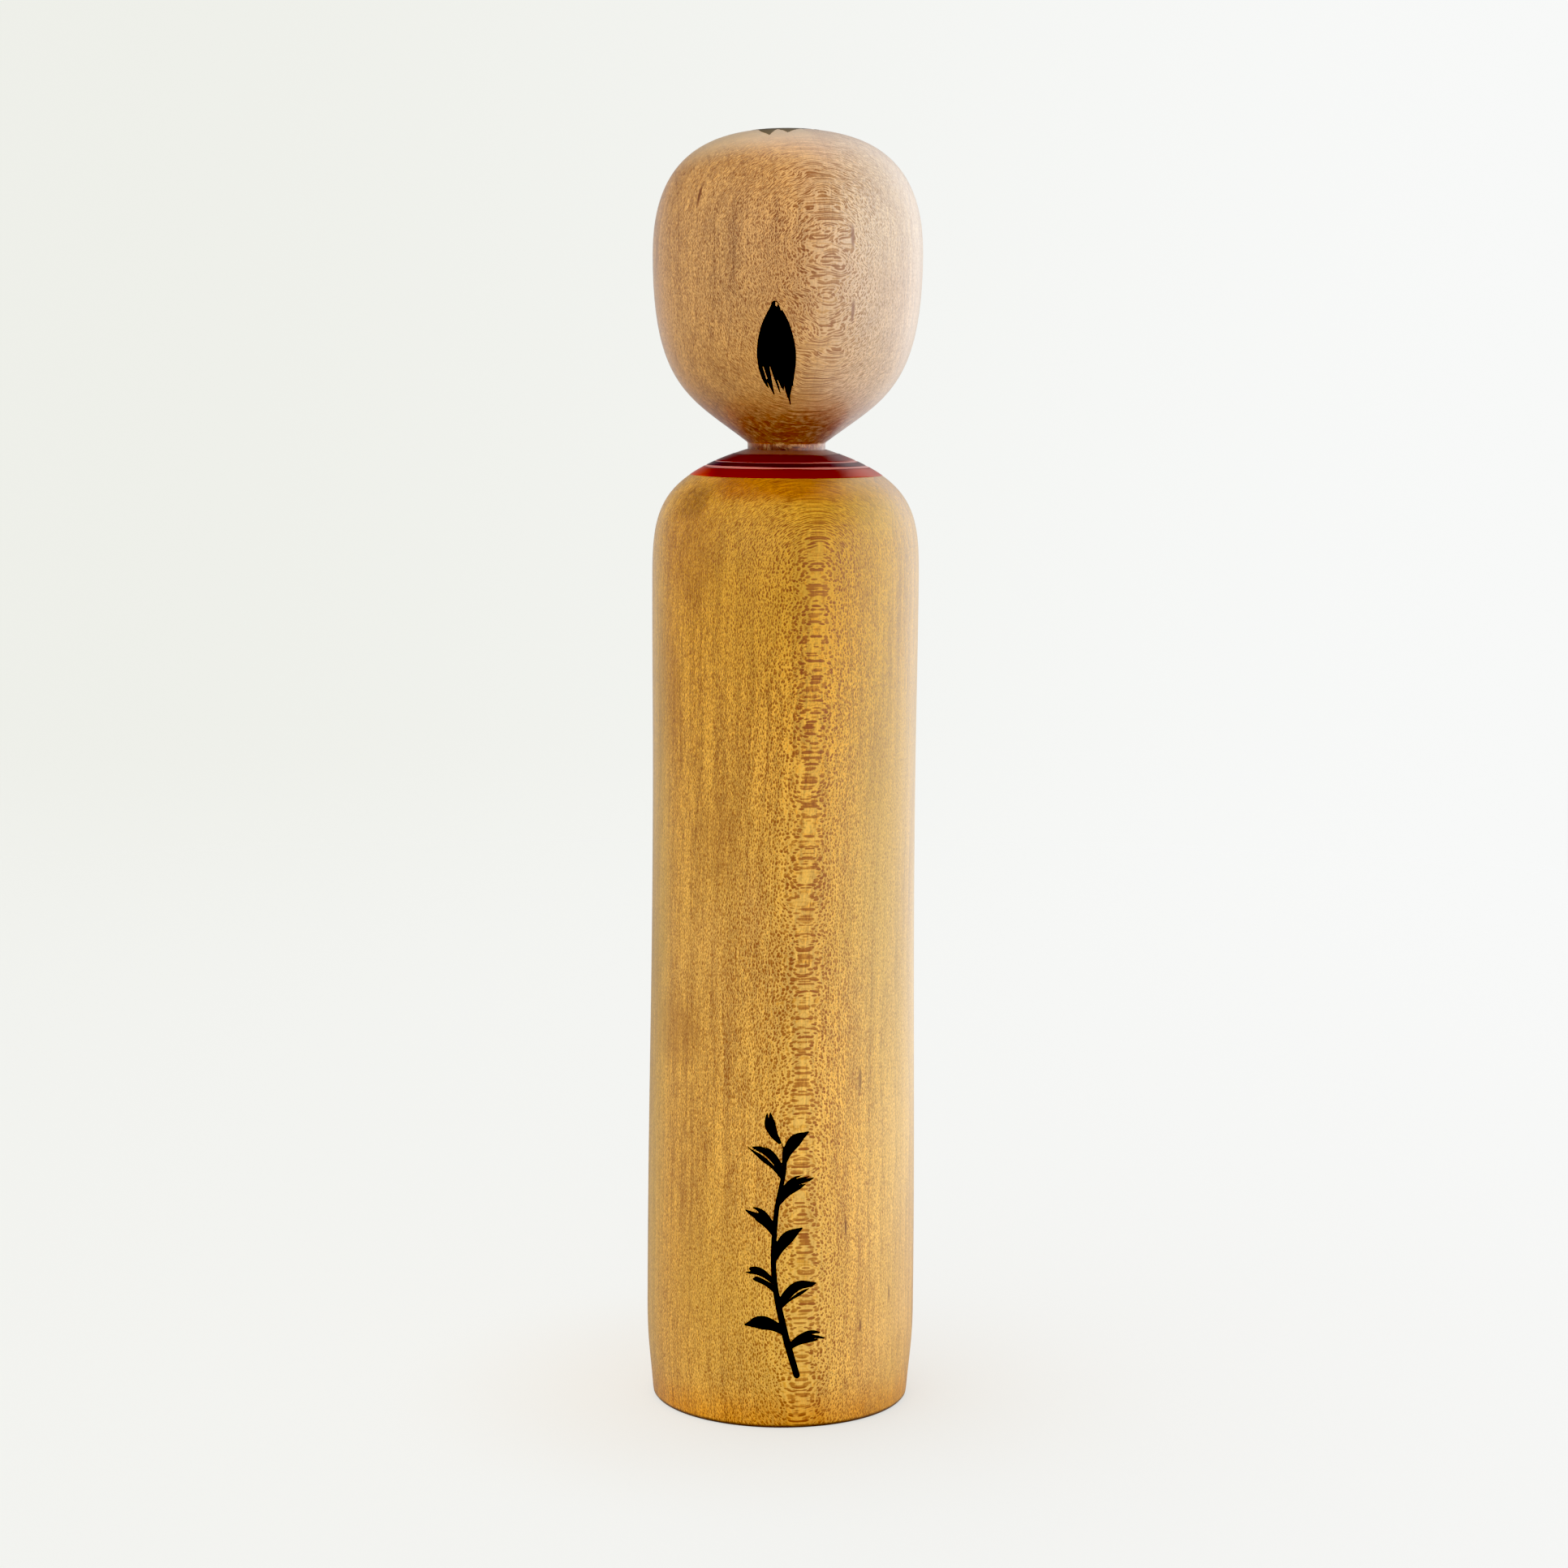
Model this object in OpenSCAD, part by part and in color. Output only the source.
// Kokeshi doll: two pieces of turned wood. The head carries a neck with a swelling tenon, which was
// forced through the lip of an undercut socket in the top of the body, so the head turns but stays on.
// The doll stands on the plane z = 0, its axis is Z, and its face looks along -Y.

/* [Body] */
// Height of the body, from the base to the mouth of the socket
body_h = 137.4; // [125:0.1:155]
// Diameter of the flat base
foot_d = 36.4; // [34:0.1:37]
// Diameter where the rounded edge of the base ends
foot_edge_d = 37.1; // [37:0.1:38]
// Height of the rounded edge of the base
foot_edge_h = 0.8; // [0.4:0.1:1.5]
// Diameter of the swelling above the base
bulge_d = 38.8; // [38:0.1:41]
// Height of the widest point of that swelling
bulge_z = 13.2; // [8:0.1:20]
// Diameter of the waist
waist_d = 37.6; // [35:0.1:38.5]
// Height of the waist
waist_z = 88.5; // [60:0.5:100]
// Diameter of the chest
chest_d = 37.9; // [36:0.1:40]
// Height at which the chest turns into the shoulder
chest_z = 119.2; // [112:0.1:121]
// How far the shoulder keeps rising straight up, as a curve handle
shoulder_rise = 9.4; // [5:0.1:11]
// How far the shoulder keeps running level, as a curve handle
shoulder_reach = 13.3; // [9:0.1:14]
// Slope of the shoulder where it meets the neck, in degrees
shoulder_slope = 17.8; // [10:0.1:25]

/* [Base hollow] */
// Diameter of the shallow hollow turned in the underside
hollow_d = 25; // [10:0.5:30]
// Depth of that hollow at its centre
hollow_h = 0.6; // [0.2:0.1:1.5]

/* [Head] */
// Height of the head, from the foot of its jaw to the crown
head_h = 43.7; // [38:0.1:50]
// Largest diameter of the head
head_d = 38; // [34:0.1:42]
// Height of the widest point above the foot of the jaw
head_mid = 26.3; // [22:0.1:30]
// Fullness of the crown's sides, as a curve handle
crown_side = 14.2; // [8:0.1:16]
// Flatness of the crown's top, as a curve handle
crown_top = 10.5; // [6:0.1:16]
// Fullness of the cheeks, as a curve handle
cheek = 18.9; // [12:0.1:20]
// Length of the straight part of the jaw, as a curve handle
jaw_reach = 9.9; // [6:0.1:12]
// Slope of the jaw where it meets the neck, in degrees
jaw_slope = 37.6; // [30:0.1:45]

/* [Neck joint] */
// Diameter of the neck
neck_d = 11; // [9:0.1:12]
// Height of the bare neck between the body and the jaw
neck_gap = 0.9; // [0.3:0.1:3]
// Radial clearance of the turning joint
play = 0.05; // [0.02:0.01:0.09]
// Length of the socket's lip, which holds the tenon in
lip_h = 5; // [3:0.1:7]
// How far the tenon swells beyond the neck, per side
tenon_swell = 0.5; // [0.3:0.05:0.8]
// Length of the tenon below the lip
tenon_h = 7; // [5:0.1:9]
// Gap between the tenon's end and the socket's floor
floor_gap = 0.6; // [0.3:0.1:1.5]

/* [Hidden] */
$fn = 128;
curve_steps = 24;                           // straight runs in each curve of an outline
side_pull = 0.4;                            // handle of a side curve, as a part of its height
foot_flare = 0.08;                          // how fast the body widens above its rounded edge
body_colour = [0.83, 0.62, 0.28];
head_colour = [0.83, 0.67, 0.53];
jaw_z = body_h + neck_gap;                  // foot of the jaw
crown_z = jaw_z + head_h;                   // top of the doll
mid_z = jaw_z + head_mid;                   // widest point of the head
neck_r = neck_d / 2;
mouth_r = neck_r + play;
lip_z = body_h - lip_h;                     // underside of the lip
tenon_r = neck_r + tenon_swell;
tenon_taper = 1.2;                          // how much the tenon narrows to its end, per side
swell_h = 0.8;                              // height of the slope from the neck to the swelling
tenon_end_h = 3;                            // height of the tapering end
lip_gap = 0.1;                              // gap above the swelling, under the lip

// Point of a cubic curve from a to d, with handles b and c
function curve_at(a, b, c, d, t) =
    pow(1 - t, 3) * a + 3 * pow(1 - t, 2) * t * b + 3 * (1 - t) * t * t * c + t * t * t * d;

// Points of that curve, without its first one, so that curves join end to end
function curve(a, b, c, d) = [for (i = [1 : curve_steps]) curve_at(a, b, c, d, i / curve_steps)];

function reversed(points) = [for (i = [len(points) - 1 : -1 : 0]) points[i]];

// Curve up the side of the body, upright at both ends
function side_curve(a, b) =
    let (pull = [0, side_pull * (b.y - a.y)]) curve(a, a + pull, b - pull, b);

// Outline of the tenon from its neck down to its end; grow widens it into the socket around it,
// top moves the slope under the lip and deep lowers the end
function tenon_outline(grow, top, deep) = let (
    r = tenon_r + grow,
    slope_z = lip_z + top,
    end_z = lip_z - tenon_h - deep
) [
    [neck_r + grow, slope_z],
    [r, slope_z - swell_h],
    [r, end_z + tenon_end_h],
    [r - tenon_taper, end_z]
];

// Rounded edge of the base: a quarter of an ellipse
function foot_round() = curve(
    [foot_d / 2, 0],
    [(foot_d + foot_edge_d) / 4, 0],
    [foot_edge_d / 2, foot_edge_h / 2],
    [foot_edge_d / 2, foot_edge_h]
);

// Shallow hollow of the underside, from the axis to its rim
function hollow_outline() = curve(
    [0, hollow_h],
    [hollow_d / 4, hollow_h],
    [hollow_d / 2 - hollow_h, hollow_h],
    [hollow_d / 2, 0]
);

function body_side() = let (
    edge = [foot_edge_d / 2, foot_edge_h],
    bulge = [bulge_d / 2, bulge_z],
    waist = [waist_d / 2, waist_z],
    chest = [chest_d / 2, chest_z],
    rim = [mouth_r, body_h],
    flare_h = bulge_z / 3,
    level = [cos(shoulder_slope), -sin(shoulder_slope)] * shoulder_reach
) concat(
    curve(edge, edge + [foot_flare * flare_h, flare_h], bulge - [0, side_pull * bulge_z], bulge),
    side_curve(bulge, waist),
    side_curve(waist, chest),
    curve(chest, chest + [0, shoulder_rise], rim + level, rim)
);

function head_side() = let (
    foot = [neck_r, jaw_z],
    mid = [head_d / 2, mid_z],
    crown = [0, crown_z],
    jaw = [cos(jaw_slope), sin(jaw_slope)] * jaw_reach
) concat(
    [foot],
    curve(foot, foot + jaw, mid - [0, cheek], mid),
    curve(mid, mid + [0, crown_side], crown + [crown_top, 0], crown)
);

module body() {
    color(body_colour)
        rotate_extrude()
            polygon(concat(
                [[foot_d / 2, 0]],
                foot_round(),
                body_side(),
                tenon_outline(play, 0, floor_gap),
                [[0, lip_z - tenon_h - floor_gap], [0, hollow_h]],
                hollow_outline()
            ));
}

module head() {
    color(head_colour)
        rotate_extrude()
            polygon(concat(
                head_side(),
                [[0, lip_z - tenon_h]],
                reversed(tenon_outline(0, -lip_gap, 0))
            ));
}

body();
head();
